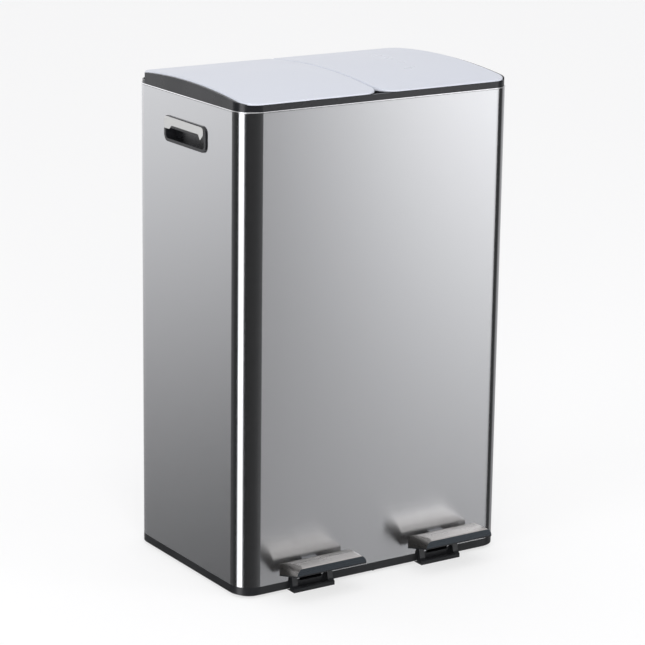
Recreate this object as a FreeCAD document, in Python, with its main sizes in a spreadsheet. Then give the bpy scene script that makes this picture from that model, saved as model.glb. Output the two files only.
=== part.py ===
"""Double recycling bin: a brushed steel casing on a moulded base, two lift-out buckets under two
hinged lids, and two pedals that raise the lids through levers and push rods.

Millimetres, +Z up. The origin is the middle of the casing's footprint on the floor, the front
faces -Y and the lids are hinged along +Y.
"""
import FreeCAD, Part
import Sketcher
import math
import os
import re

doc = FreeCAD.newDocument("double_recycling_bin")
Vector = FreeCAD.Vector

# Driving dimensions: name, size, meaning.
SIZES = [
    ("body_width", 408.0, "casing, outside width"),
    ("body_depth", 275.0, "casing, outside depth"),
    ("corner_radius", 28.0, "casing, vertical corners"),
    ("sheet_thick", 0.6, "casing sheet"),
    ("shell_foot", 14.4, "lower edge of the casing"),
    ("shell_rim", 629.4, "upper edge of the casing"),
    ("seat_gap", 0.3, "clearance between parts that slip together"),
    ("base_floor", 3.0, "floor of the base tray"),
    ("base_wall", 2.5, "wall of the base tray"),
    ("base_top", 32.0, "upper edge of the base tray inside the casing"),
    ("foot_inset", 8.0, "chamfer under the base, inward"),
    ("foot_rise", 3.7, "chamfer under the base, upward"),
    ("pad_radius", 11.0, "anti-slip pads"),
    ("pad_depth", 1.6, "pocket of an anti-slip pad"),
    ("pad_inset", 38.0, "anti-slip pads from the sides"),
    ("rim_inset", 1.0, "top frame inside the casing's face"),
    ("cheek_thick", 3.2, "raised cheeks of the top frame"),
    ("skirt_wall", 2.4, "walls of the top frame"),
    ("skirt_drop", 26.0, "top frame below the casing's edge"),
    ("seat_rise", 4.1, "shelf under the lids, above the casing's edge"),
    ("deck_thick", 3.0, "shelf thickness"),
    ("brow_rise", 7.8, "front band of the top frame, above the casing's edge"),
    ("arch_radius", 1017.0, "front-to-back arch of the top"),
    ("arch_y", 11.0, "crown of the arch behind the middle"),
    ("crown_rise", 20.6, "top of the lids, above the casing's edge"),
    ("cheek_drop", 1.6, "top of the frame's cheeks, below the lids'"),
    ("opening_inner", 4.5, "bucket openings from the middle"),
    ("opening_side_inset", 9.0, "bucket openings from the casing's side"),
    ("opening_front_inset", 9.5, "bucket openings from its front"),
    ("opening_back_inset", 40.5, "bucket openings from its back"),
    ("opening_radius", 16.0, "corners of the bucket openings"),
    ("ledge_drop", 11.4, "ledge that carries the buckets, below the casing's edge"),
    ("ledge_thick", 2.6, "ledge thickness"),
    ("ledge_width", 5.0, "ledge, inward"),
    ("bucket_gap", 1.2, "bucket rim inside its opening"),
    ("flange_thick", 2.6, "bucket rim"),
    ("bucket_wall", 2.0, "bucket wall"),
    ("bucket_foot", 54.0, "underside of the buckets"),
    ("bucket_narrows", 9.0, "draft of a bucket, each side, from rim to foot"),
    ("grip_width", 86.0, "finger grips of the buckets"),
    ("grip_height", 20.0, "finger grips of the buckets, height"),
    ("hinge_inset", 16.5, "hinge axis from the casing's back"),
    ("hinge_rise", 6.6, "hinge axis above the casing's edge"),
    ("hinge_radius", 2.0, "hinge pins"),
    ("knuckle_radius", 4.2, "hinge knuckles"),
    ("knuckle_length", 12.0, "hinge knuckles of a lid"),
    ("ear_thick", 4.0, "hinge ears of the frame"),
    ("hinge_spread", 66.0, "hinge knuckles from the lid's middle"),
    ("running_gap", 0.05, "radial clearance of pins"),
    ("side_gap", 0.4, "end play of hinges"),
    ("well_front", 8.5, "hinge well ahead of the hinge axis"),
    ("well_inset", 3.3, "hinge well, back wall from the casing's back"),
    ("lid_shift", 2.1, "middle of each lid, rod and pedal, inward of a quarter of the width"),
    ("lid_gap", 1.2, "half the gap between the lids"),
    ("lid_side_gap", 0.6, "lid beside a cheek"),
    ("lid_front_inset", 1.5, "front edge of the lids from the casing's face"),
    ("lid_back_inset", 6.0, "back edge of the lids from the casing's back"),
    ("lid_corner", 24.0, "front corners of the lids"),
    ("lid_corner_back", 20.0, "outer back corners of the lids"),
    ("lid_corner_split", 7.0, "inner back corners of the lids"),
    ("lid_edge", 2.2, "rounded upper edge of the lids"),
    ("fine_corner", 1.0, "small corners of mouldings"),
    ("lid_skin", 1.0, "lid skin"),
    ("lid_lift", 0.5, "lid above the frame's front band"),
    ("liner_thick", 1.6, "plate of a lid liner"),
    ("liner_inset", 4.2, "liner inside the lid skin"),
    ("plug_wall", 1.8, "rib of the liner that drops into the opening"),
    ("plug_gap", 2.2, "liner rib inside the opening"),
    ("plug_rise", 0.7, "lower edge of the liner rib above the shelf"),
    ("crank_forward", 11.95, "crank pin ahead of the hinge axis"),
    ("crank_down", 10.03, "crank pin below the hinge axis"),
    ("crank_cheek", 2.6, "cheeks of the crank"),
    ("crank_inside", 10.0, "between the crank's cheeks"),
    ("crank_pin_radius", 1.9, "crank pin"),
    ("rod_radius", 3.0, "push rod"),
    ("rod_ahead", 13.5, "push rod ahead of the hinge axis"),
    ("rod_play", 0.75, "play at both ends of a push rod"),
    ("shoe_width", 8.0, "plastic shoe on the rod, width"),
    ("shoe_depth", 13.0, "plastic shoe on the rod, depth"),
    ("shoe_height", 9.0, "plastic shoe on the rod, height"),
    ("lever_pivot_y", 24.0, "lever pivot ahead of the middle"),
    ("lever_pivot_z", 27.0, "lever pivot height"),
    ("lever_slope", 0.0761, "rise of the lever towards the front"),
    ("lever_width", 22.0, "lever channel, width"),
    ("lever_height", 8.0, "lever channel, height"),
    ("lever_wall", 1.5, "lever channel, wall"),
    ("lever_tip", 7.0, "lever beyond the push rod"),
    ("lever_reach", 30.0, "lever ahead of the casing"),
    ("pivot_radius", 2.4, "pivot pin of a lever"),
    ("bracket_gap", 0.5, "bracket beside the lever"),
    ("bracket_wall", 1.8, "pivot bracket, wall"),
    ("bracket_length", 34.0, "pivot bracket, length"),
    ("bracket_rim", 6.0, "bracket above the pivot"),
    ("notch_half", 17.0, "lever notch, half its width"),
    ("notch_top", 40.6, "lever notch in the casing, top"),
    ("notch_foot", 11.4, "lever notch in the base, bottom"),
    ("pedal_front", 51.0, "pedal ahead of the casing"),
    ("pedal_back", 8.5, "back edge of the pedal ahead of the casing"),
    ("pedal_half", 52.5, "pedal, half its width"),
    ("pedal_top", 50.2, "top of the pedal"),
    ("pedal_back_top", 43.6, "top of the pedal's back edge"),
    ("pedal_back_foot", 27.5, "underside of the pedal at the back"),
    ("pedal_front_foot", 38.4, "underside of the pedal at the front"),
    ("pedal_corner", 11.5, "rounded ends of the pedal"),
    ("pedal_cover", 1.2, "steel tread of the pedal"),
    ("pedal_nose", 1.3, "rounded front edge of the pedal"),
    ("pedal_lip", 1.6, "pedal base below the tread"),
    ("stop_half", 31.0, "pedal stop, half its width"),
    ("stop_arm", 8.0, "arms of the pedal stop"),
    ("stop_reach", 10.3, "pedal stop ahead of the casing"),
    ("stop_bar", 6.2, "front bar of the pedal stop"),
    ("stop_top", 24.0, "arms of the pedal stop, top"),
    ("stop_neck", 2.5, "arms of the pedal stop, thickness at the top"),
    ("handle_front", 49.0, "handle bezel ahead of the middle"),
    ("handle_back", 55.0, "handle bezel behind the middle"),
    ("handle_drop", 30.9, "handle bezel below the casing's edge"),
    ("handle_tall", 33.5, "handle bezel, height"),
    ("handle_proud", 1.8, "handle bezel on the casing's face"),
    ("handle_border", 4.0, "bezel around the finger recess"),
    ("handle_brow", 15.0, "bezel above the finger recess"),
    ("handle_depth", 12.0, "finger recess"),
    ("handle_wall", 1.5, "wall of the finger recess"),
    ("handle_corner", 9.0, "corners of the bezel"),
    ("guide_reach", 10.0, "rod guide around the rod"),
    ("guide_height", 12.0, "rod guide"),
    ("guide_low", 150.0, "lower rod guide"),
    ("guide_high", 470.0, "upper rod guide"),
    ("screw_radius", 1.9, "screw shanks"),
    ("screw_head", 3.6, "screw heads, radius"),
    ("screw_head_height", 2.0, "screw heads, height"),
    ("buffer_radius", 2.3, "lid buffers"),
]
sheet = doc.addObject("Spreadsheet::Sheet", "Sizes")
for row, (alias, size, meaning) in enumerate(SIZES, 1):
    sheet.set(f"A{row}", meaning)
    sheet.set(f"B{row}", str(size))
    sheet.setAlias(f"B{row}", alias)
doc.recompute()
ALIASES = {alias for alias, size, meaning in SIZES}

# Places that follow from the driving dimensions
PLACES = {
    "seat_height": "(shell_rim + seat_rise)",
    "brow_height": "(shell_rim + brow_rise)",
    "lid_crown": "(shell_rim + crown_rise)",
    "cheek_crown": "(shell_rim + crown_rise - cheek_drop)",
    "ledge_height": "(shell_rim - ledge_drop)",
    "plug_foot": "(shell_rim + seat_rise + plug_rise)",
    "handle_top": "(shell_rim - handle_drop)",
    "handle_foot": "(shell_rim - handle_drop - handle_tall)",
    "hinge_z": "(shell_rim + hinge_rise)",
    "hinge_y": "(body_depth / 2 - hinge_inset)",
    "rod_y": "(body_depth / 2 - hinge_inset - rod_ahead)",
    "well_back": "(body_depth / 2 - well_inset)",
    "lid_front": "(body_depth / 2 - lid_front_inset)",
    "lid_back": "(body_depth / 2 - lid_back_inset)",
    "lid_x": "(body_width / 4 - lid_shift)",
    "opening_outer": "(body_width / 2 - opening_side_inset)",
    "opening_front": "(body_depth / 2 - opening_front_inset)",
    "opening_back": "(body_depth / 2 - opening_back_inset)",
}


def linked(formula):
    """The formula with every place spelt out and every size name pointing at its cell."""
    spelt = re.sub(r"[a-z_]{3,}", lambda word: PLACES.get(word[0], word[0]), formula)
    return re.sub(r"[a-z_]{3,}", lambda word: ("Sizes." if word[0] in ALIASES else "") + word[0], spelt)


def value(formula):
    """What a formula gives now, in mm."""
    return float(sheet.evalExpression(linked(formula)))


def tie(target, prop, formula):
    target.setExpression(prop, linked(formula))


# Bodies, sketches and features
NODES = []


def new_body(name):
    body = doc.addObject("PartDesign::Body", name)
    body.Label = name
    NODES.append(body)
    return body


def new_sketch(body, role, offset="0"):
    """A sketch on an origin plane of the body: XY looks down, XZ looks at the front, YZ at the side."""
    sketch = body.newObject("Sketcher::SketchObject", f"{body.Name}_outline")
    plane = next(feature for feature in body.Origin.OriginFeatures if feature.Role == role)
    sketch.AttachmentSupport = [(plane, "")]
    sketch.MapMode = "FlatFace"
    tie(sketch, "AttachmentOffset.Base.z", offset)
    return sketch


def pin_point(sketch, edge, end, across, up):
    for kind, formula in (("DistanceX", across), ("DistanceY", up)):
        if formula is not None:
            number = sketch.addConstraint(Sketcher.Constraint(kind, -1, 1, edge, end, value(formula)))
            tie(sketch, f"Constraints[{number}]", formula)


def draw(sketch, corners):
    """A closed outline of straight edges through corners, each a pair of formulas."""
    first = sketch.GeometryCount
    points = [Vector(value(across), value(up), 0) for across, up in corners]
    for start, end in zip(points, points[1:] + points[:1]):
        sketch.addGeometry(Part.LineSegment(start, end), False)
    count = len(corners)
    for number, (across, up) in enumerate(corners):
        following = first + (number + 1) % count
        sketch.addConstraint(Sketcher.Constraint("Coincident", first + number, 2, following, 1))
        pin_point(sketch, first + number, 1, across, up)


def draw_box(sketch, left, right, low, high):
    draw(sketch, [(left, low), (right, low), (right, high), (left, high)])


def draw_round_box(sketch, left, right, low, high, radii):
    """A box with an arc at each corner; radii run from the lower left corner round to the upper left."""
    corners = ((left, low, "+", "+", radii[0]), (right, low, "-", "+", radii[1]),
               (right, high, "-", "-", radii[2]), (left, high, "+", "-", radii[3]))
    first = sketch.GeometryCount
    ends = []
    for number, (across, up, sign_x, sign_y, radius) in enumerate(corners):
        centre = (f"({across}) {sign_x} ({radius})", f"({up}) {sign_y} ({radius})")
        circle = Part.Circle(Vector(value(centre[0]), value(centre[1]), 0), Vector(0, 0, 1), value(radius))
        start = math.pi + number * math.pi / 2
        arc = Part.ArcOfCircle(circle, start, start + math.pi / 2)
        sketch.addGeometry(arc, False)
        ends.append((arc.StartPoint, arc.EndPoint))
        pin_point(sketch, first + number, 3, *centre)
        limit = sketch.addConstraint(Sketcher.Constraint("Radius", first + number, value(radius)))
        tie(sketch, f"Constraints[{limit}]", radius)
        flat, steep = ("Horizontal", "Vertical") if number % 2 == 0 else ("Vertical", "Horizontal")
        sketch.addConstraint(Sketcher.Constraint(flat, first + number, 3, first + number, 1))
        sketch.addConstraint(Sketcher.Constraint(steep, first + number, 3, first + number, 2))
    for number in range(4):
        following = (number + 1) % 4
        side = sketch.addGeometry(Part.LineSegment(ends[number][1], ends[following][0]), False)
        sketch.addConstraint(Sketcher.Constraint("Coincident", side, 1, first + number, 2))
        sketch.addConstraint(Sketcher.Constraint("Coincident", side, 2, first + following, 1))


def draw_circle(sketch, across, up, radius):
    centre = Vector(value(across), value(up), 0)
    number = sketch.addGeometry(Part.Circle(centre, Vector(0, 0, 1), value(radius)), False)
    pin_point(sketch, number, 3, across, up)
    limit = sketch.addConstraint(Sketcher.Constraint("Radius", number, value(radius)))
    tie(sketch, f"Constraints[{limit}]", radius)


def draw_arch(sketch, low, high, base, crown, radius):
    """The space above an arch: its lower edge is the arc from high to low, its top is flat at base."""
    middle = value("arch_y")
    centre = Vector(middle, value(f"({crown}) - ({radius})"), 0)
    size = value(radius)
    ends = [Vector(value(y), 0, 0) for y in (high, low)]
    for end in ends:
        end.y = centre.y + (size ** 2 - (end.x - middle) ** 2) ** 0.5
    top = value(base)
    circle = Part.Circle(centre, Vector(0, 0, 1), size)
    angles = [circle.parameter(end) for end in ends]
    sketch.addGeometry(Part.ArcOfCircle(circle, angles[0], angles[1]), False)
    path = [ends[1], Vector(ends[1].x, top, 0), Vector(ends[0].x, top, 0), ends[0]]
    for start, end in zip(path, path[1:]):
        sketch.addGeometry(Part.LineSegment(start, end), False)
    for number in range(4):
        sketch.addConstraint(Sketcher.Constraint("Coincident", number, 2, (number + 1) % 4, 1))
    pin_point(sketch, 0, 3, "arch_y", f"({crown}) - ({radius})")
    limit = sketch.addConstraint(Sketcher.Constraint("Radius", 0, size))
    tie(sketch, f"Constraints[{limit}]", radius)
    pin_point(sketch, 2, 1, low, base)
    pin_point(sketch, 2, 2, high, base)
    sketch.addConstraint(Sketcher.Constraint("Vertical", 1))
    sketch.addConstraint(Sketcher.Constraint("Vertical", 3))


def extrude(body, kind, sketch, length):
    """Pad or Pocket along the sketch's normal, with a test that it changed the solid."""
    doc.recompute()
    before = body.Tip.Shape.Volume if body.Tip else 0
    feature = body.newObject(f"PartDesign::{kind}", f"{body.Name}_{kind.lower()}")
    feature.Profile = sketch
    tie(feature, "Length", length)
    feature.Reversed = kind == "Pocket"
    doc.recompute()
    if feature.Shape.isNull():
        raise ValueError(f"{feature.Name} {feature.State} {sketch.State}")
    change = feature.Shape.Volume - before
    if (change if kind == "Pad" else -change) < 1e-3:
        raise ValueError(f"{feature.Name} changed nothing")
    return feature


def round_off(body, radius, pick, kind="Fillet"):
    """A fillet or chamfer on the edges that pick chooses."""
    doc.recompute()
    base = body.Tip
    names = [f"Edge{number}" for number, edge in enumerate(base.Shape.Edges, 1) if pick(edge)]
    feature = body.newObject(f"PartDesign::{kind}", f"{body.Name}_{kind.lower()}")
    feature.Base = (base, names)
    tie(feature, "Radius" if kind == "Fillet" else "Size", radius)
    doc.recompute()
    if not names or not feature.isValid():
        raise ValueError(f"{feature.Name}: {len(names)} edges, {feature.State}")
    return feature


def middle(edge):
    return edge.valueAt((edge.FirstParameter + edge.LastParameter) / 2)


def runs_along(edge, axis, slack=0.98):
    run = edge.Vertexes[-1].Point - edge.Vertexes[0].Point
    return run.Length > 0.5 and abs(run[axis]) > slack * run.Length


def upright(edge):
    return runs_along(edge, 2)


def pad_box(body, x, y, low, high, kind="Pad", radius=None):
    """An upright box, added or cut, from formulas for its sides; radius is one, or one per corner."""
    sketch = new_sketch(body, "XY_Plane", low)
    if radius is None:
        draw_box(sketch, x[0], x[1], y[0], y[1])
    else:
        radii = (radius,) * 4 if isinstance(radius, str) else radius
        draw_round_box(sketch, x[0], x[1], y[0], y[1], radii)
    return extrude(body, kind, sketch, f"({high}) - ({low})")


def cut_arch(body, crown, radius, reach="body_width / 2 + 10"):
    """Trims everything above the arch of the top."""
    sketch = new_sketch(body, "YZ_Plane", f"-({reach})")
    draw_arch(sketch, "-body_depth", "body_depth", "lid_crown + 30", crown, radius)
    return extrude(body, "Pocket", sketch, f"2 * ({reach})")


def cylinder(name, radius, length, place, turn=None):
    """A plain round pin; place holds formulas for the middle of its first end."""
    pin = doc.addObject("Part::Cylinder", name)
    tie(pin, "Radius", radius)
    tie(pin, "Height", length)
    if turn:
        pin.Placement = FreeCAD.Placement(Vector(), FreeCAD.Rotation(Vector(*turn), 90))
    for axis, formula in zip("xyz", place):
        tie(pin, f"Placement.Base.{axis}", formula)
    return pin


def group(name, members):
    """Like pieces that share one node, as separate solids."""
    pieces = doc.addObject("Part::Compound", name)
    pieces.Links = members
    pieces.Label = name
    NODES.append(pieces)
    return pieces


def alone(pin, name):
    pin.Label = name
    NODES.append(pin)
    return pin


SIDES = (("left", "-"), ("right", ""))
ALONG_X = (0, 1, 0)
HALF_W = "body_width / 2"
HALF_D = "body_depth / 2"


# Casing: one brushed sheet wrapped into a tube with large corner radii
def casing():
    body = new_body("outer_shell")
    pad_box(body, (f"-{HALF_W}", HALF_W), (f"-{HALF_D}", HALF_D), "shell_foot", "shell_rim",
            radius="corner_radius")
    inner_w = f"({HALF_W} - sheet_thick)"
    inner_d = f"({HALF_D} - sheet_thick)"
    pad_box(body, (f"-{inner_w}", inner_w), (f"-{inner_d}", inner_d), "shell_foot", "shell_rim", "Pocket",
            "corner_radius - sheet_thick")
    for side, sign in SIDES:
        pad_box(body, (f"{sign}lid_x - notch_half", f"{sign}lid_x + notch_half"),
                (f"-{HALF_D} - 1", f"-{HALF_D} + 4"), "shell_foot", "notch_top", "Pocket")
    # a hole in each side for a handle
    sketch = new_sketch(body, "YZ_Plane", f"-{HALF_W} - 1")
    border = "(handle_border / 2)"
    draw_round_box(sketch, f"-handle_front + {border}", f"handle_back - {border}",
                   f"handle_foot + {border}", f"handle_top - {border}", (f"handle_corner - {border}",) * 4)
    extrude(body, "Pocket", sketch, "body_width + 2")
    return body


# Base: a moulded tray whose band shows below the casing and whose spigot fits inside it
def base_tray():
    body = new_body("base_tray")
    pad_box(body, (f"-{HALF_W}", HALF_W), (f"-{HALF_D}", HALF_D), "0", "shell_foot", radius="corner_radius")
    chamfer = round_off(body, "foot_rise", lambda edge: abs(middle(edge).z) < 0.01, "Chamfer")
    chamfer.ChamferType = "Two distances"
    chamfer.FlipDirection = True
    tie(chamfer, "Size", "foot_inset")
    tie(chamfer, "Size2", "foot_rise")
    slip = "(sheet_thick + seat_gap)"
    pad_box(body, (f"-{HALF_W} + {slip}", f"{HALF_W} - {slip}"), (f"-{HALF_D} + {slip}", f"{HALF_D} - {slip}"),
            "shell_foot", "base_top", radius=f"corner_radius - {slip}")
    inner = "(sheet_thick + seat_gap + base_wall)"
    inner_w = f"({HALF_W} - {inner})"
    inner_d = f"({HALF_D} - {inner})"
    pad_box(body, (f"-{inner_w}", inner_w), (f"-{inner_d}", inner_d), "base_floor", "base_top", "Pocket",
            f"corner_radius - {inner}")
    # lever notches through the front wall
    for side, sign in SIDES:
        pad_box(body, (f"{sign}lid_x - notch_half", f"{sign}lid_x + notch_half"),
                (f"-{HALF_D} - 1", f"-{HALF_D} + 10"), "notch_foot", "base_top + 1", "Pocket")
    # stiffening ribs across the floor
    pad_box(body, ("-base_wall / 2", "base_wall / 2"), (f"-{inner_d} - 1", f"{inner_d} + 1"),
            "base_floor - 1", "base_floor + 9")
    pad_box(body, (f"-{inner_w} - 1", f"{inner_w} + 1"), ("rod_y - 34", "rod_y - 34 + base_wall"),
            "base_floor - 1", "base_floor + 5")
    # round pockets under the corners for the anti-slip pads
    sketch = new_sketch(body, "XY_Plane", "0")
    for x in (f"-({HALF_W} - pad_inset)", f"{HALF_W} - pad_inset"):
        for y in (f"-({HALF_D} - pad_inset)", f"{HALF_D} - pad_inset"):
            draw_circle(sketch, x, y, "pad_radius")
    extrude(body, "Pocket", sketch, "pad_depth")
    return body


def floor_pads():
    pads = []
    for x in (f"-({HALF_W} - pad_inset)", f"{HALF_W} - pad_inset"):
        for y in (f"-({HALF_D} - pad_inset)", f"{HALF_D} - pad_inset"):
            pads.append(cylinder("floor_pad", "pad_radius - seat_gap", "pad_depth", (x, y, "0")))
    group("floor_pads", pads)


def bucket_sides(sign):
    return ("opening_inner", "opening_outer") if sign == "" else ("-opening_outer", "-opening_inner")


def outer_then_inner(sign, outer, inner):
    """Radii of the two back corners of a left or right piece, from the right-hand one round."""
    return (outer, inner) if sign == "" else (inner, outer)


# Top frame: cheeks that follow the arch, a shelf for the lids, ledges for the buckets, hinge ears
def top_frame():
    body = new_body("top_frame")
    face_w = f"({HALF_W} - rim_inset)"
    face_d = f"({HALF_D} - rim_inset)"
    pad_box(body, (f"-{face_w}", face_w), (f"-{face_d}", face_d), "shell_rim", "lid_crown",
            radius="corner_radius - rim_inset")
    cut_arch(body, "cheek_crown", "arch_radius")
    slip = "(sheet_thick + seat_gap)"
    skirt_foot = "shell_rim - skirt_drop"
    pad_box(body, (f"-{HALF_W} + {slip}", f"{HALF_W} - {slip}"), (f"-{HALF_D} + {slip}", f"{HALF_D} - {slip}"),
            skirt_foot, "shell_rim", radius=f"corner_radius - {slip}")
    # the room for the lids, behind the front band, and the lowered front band
    room_w = f"({HALF_W} - rim_inset - cheek_thick)"
    band = f"({HALF_D} - rim_inset - cheek_thick)"
    corner = "corner_radius - rim_inset - cheek_thick"
    back_corner = "lid_corner_back + lid_side_gap"
    pad_box(body, (f"-{room_w}", room_w), (f"-{band}", "well_back"), "seat_height", "lid_crown + 1", "Pocket",
            (corner, corner, back_corner, back_corner))
    pad_box(body, (f"-{room_w}", room_w), (f"-{HALF_D} - 1", "0"), "brow_height", "lid_crown + 1",
            "Pocket", ("lid_corner + lid_side_gap",) * 2 + ("fine_corner",) * 2)
    # the back corners are low, so that the lids can swing out over them
    for near, far in ((f"{HALF_W} - corner_radius", HALF_W), (f"-{HALF_W}", f"-{HALF_W} + corner_radius")):
        pad_box(body, (near, far), (f"{HALF_D} - corner_radius + fine_corner", HALF_D), "seat_height",
                "lid_crown", "Pocket")
    # under the shelf: hollow between the skirt and the collars
    inner = f"({slip} + skirt_wall)"
    shelf_foot = "(seat_height - deck_thick)"
    below_shelf = f"({shelf_foot} - 1)"
    pad_box(body, (f"-{HALF_W} + {inner}", f"{HALF_W} - {inner}"),
            (f"-{HALF_D} + {inner}", f"{HALF_D} - {inner}"), skirt_foot, shelf_foot, "Pocket",
            f"corner_radius - {inner}")
    # a collar with a ledge inside for each bucket
    collar_foot = "(ledge_height - ledge_thick)"
    for side, sign in SIDES:
        near, far = bucket_sides(sign)
        pad_box(body, (f"{near} - skirt_wall", f"{far} + skirt_wall"),
                ("-opening_front - skirt_wall", "opening_back + skirt_wall"), collar_foot, shelf_foot,
                radius="opening_radius + skirt_wall")
    for side, sign in SIDES:
        near, far = bucket_sides(sign)
        for margin, low, high in (("ledge_width", collar_foot, "ledge_height"),
                                  ("0", "ledge_height", "seat_height")):
            pad_box(body, (f"{near} + {margin}", f"{far} - {margin}"),
                    (f"-opening_front + {margin}", f"opening_back - {margin}"), low, high, "Pocket",
                    f"opening_radius - {margin}")
    # hinge wells behind the shelf, and a slot in front of each for the crank and its push rod
    for side, sign in SIDES:
        web = "(lid_gap - lid_side_gap)"
        near, far = (web, room_w) if sign == "" else (f"-{room_w}", f"-{web}")
        pad_box(body, (near, far), ("hinge_y - well_front", "well_back"), below_shelf, "seat_height", "Pocket",
                ("fine_corner",) * 2 + outer_then_inner(sign, back_corner, "fine_corner"))
        half = "(crank_inside / 2 + crank_cheek + 1)"
        pad_box(body, (f"{sign}lid_x - {half}", f"{sign}lid_x + {half}"),
                ("opening_back + skirt_wall", "hinge_y - well_front + 1"), below_shelf, "seat_height",
                "Pocket")
    # pairs of ears that carry the hinge pins
    for side, sign in SIDES:
        for spread in ("- hinge_spread", "+ hinge_spread"):
            for facing in ("-", "+"):
                inner = f"{sign}lid_x {spread} {facing} (knuckle_length / 2 + side_gap)"
                outer = f"{inner} {facing} ear_thick"
                low, high = (outer, inner) if facing == "-" else (inner, outer)
                sketch = new_sketch(body, "YZ_Plane", low)
                draw(sketch, [("hinge_y - well_front - 2", shelf_foot), ("hinge_y + 1", shelf_foot),
                              ("hinge_y + knuckle_radius", "hinge_z - 1"),
                              ("hinge_y + knuckle_radius", "hinge_z + 2"),
                              ("hinge_y + 2", "hinge_z + knuckle_radius"),
                              ("hinge_y - 2", "hinge_z + knuckle_radius"),
                              ("hinge_y - well_front - 2", "hinge_z")])
                extrude(body, "Pad", sketch, f"({high}) - ({low})")
    reach = "(lid_x + hinge_spread + knuckle_length / 2 + side_gap + 1.5 * ear_thick)"
    sketch = new_sketch(body, "YZ_Plane", f"-{reach}")
    draw_circle(sketch, "hinge_y", "hinge_z", "hinge_radius + running_gap")
    extrude(body, "Pocket", sketch, f"2 * {reach}")
    return body


# Buckets: tapered mouldings that hang by their rims on the frame's ledges
def bucket(side, sign):
    body = new_body(f"bucket_{side}")
    near, far = bucket_sides(sign)
    inset = "(ledge_width + bucket_gap)"
    wall_x = (f"{near} + {inset}", f"{far} - {inset}")
    wall_y = (f"-opening_front + {inset}", f"opening_back - {inset}")
    corner = "(opening_radius - ledge_width)"
    foot_corner = "(opening_radius - ledge_width - bucket_narrows / 3)"
    for kind, wall, foot in (("AdditiveLoft", "0", "bucket_foot"),
                             ("SubtractiveLoft", "bucket_wall", "bucket_foot + bucket_wall")):
        sections = []
        for height, narrow, radius in ((foot, "bucket_narrows", foot_corner), ("ledge_height", "0", corner)):
            sketch = new_sketch(body, "XY_Plane", height)
            draw_round_box(sketch, f"{wall_x[0]} + {narrow} + {wall}", f"{wall_x[1]} - {narrow} - {wall}",
                           f"{wall_y[0]} + {narrow} + {wall}", f"{wall_y[1]} - {narrow} - {wall}",
                           (f"{radius} - {wall}",) * 4)
            sections.append(sketch)
        loft = body.newObject(f"PartDesign::{kind}", f"bucket_{side}_{kind}")
        loft.Profile = sections[0]
        loft.Sections = sections[1:]
        loft.Ruled = True
        doc.recompute()
    # the rim that rests on the ledge
    pad_box(body, (f"{near} + bucket_gap", f"{far} - bucket_gap"),
            ("-opening_front + bucket_gap", "opening_back - bucket_gap"),
            "ledge_height", "ledge_height + flange_thick", radius="opening_radius - bucket_gap")
    pad_box(body, (f"{wall_x[0]} + bucket_wall", f"{wall_x[1]} - bucket_wall"),
            (f"{wall_y[0]} + bucket_wall", f"{wall_y[1]} - bucket_wall"),
            "ledge_height - 0.01", "ledge_height + flange_thick", "Pocket", f"{corner} - bucket_wall")
    # finger grips: slots through the front and back walls below the rim
    sketch = new_sketch(body, "XZ_Plane", "-opening_back - 5")
    grip_top = "ledge_height - 14"
    draw_round_box(sketch, f"{sign}lid_x - grip_width / 2", f"{sign}lid_x + grip_width / 2",
                   f"{grip_top} - grip_height", grip_top, ("grip_height / 2 - 0.5",) * 4)
    extrude(body, "Pocket", sketch, "opening_front + opening_back + 10")
    return body


# Lids: a thin arched cap over a moulded liner that carries the knuckles and the crank
def lid_sides(sign):
    inner = "lid_gap"
    outer = f"({HALF_W} - rim_inset - cheek_thick - lid_side_gap)"
    return (inner, outer) if sign == "" else (f"-{outer}", f"-{inner}")


def hollow_out(body, name, x, y, low, crown, radius, corners):
    """Cuts an arched hollow, the lid's inside, out of the body."""
    hollow = doc.addObject("PartDesign::Body", name)
    pad_box(hollow, x, y, low, "lid_crown", radius=corners)
    cut_arch(hollow, crown, radius)
    boolean = body.newObject("PartDesign::Boolean", f"{name}_cut")
    boolean.Type = "Cut"
    boolean.addObjects([hollow])
    doc.recompute()


def lid_cap(side, sign):
    body = new_body(f"lid_{side}")
    near, far = lid_sides(sign)
    foot = "brow_height + lid_lift"
    corners = ("lid_corner",) * 2 + outer_then_inner(sign, "lid_corner_back", "lid_corner_split")
    pad_box(body, (near, far), ("-lid_front", "lid_back"), foot, "lid_crown", radius=corners)
    cut_arch(body, "lid_crown", "arch_radius")
    round_off(body, "lid_edge", lambda edge: middle(edge).z > value(foot) + 0.5 and not upright(edge))
    hem = "(lid_skin + 4)"
    hollow_out(body, f"lid_{side}_hollow", (f"{near} + lid_skin", f"{far} - lid_skin"),
               (f"-lid_front + {hem}", "lid_back - lid_skin"), f"{foot} - 1", "lid_crown - lid_skin",
               "arch_radius - lid_skin", tuple(f"{corner} - lid_skin" for corner in corners))
    # the back edge is shorter, so that it clears the frame as the lid opens
    pad_box(body, (f"{near} - 1", f"{far} + 1"), ("hinge_y + knuckle_radius", "lid_back + 1"),
            f"{foot} - 1", "hinge_z + 3.6", "Pocket")
    return body


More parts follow.
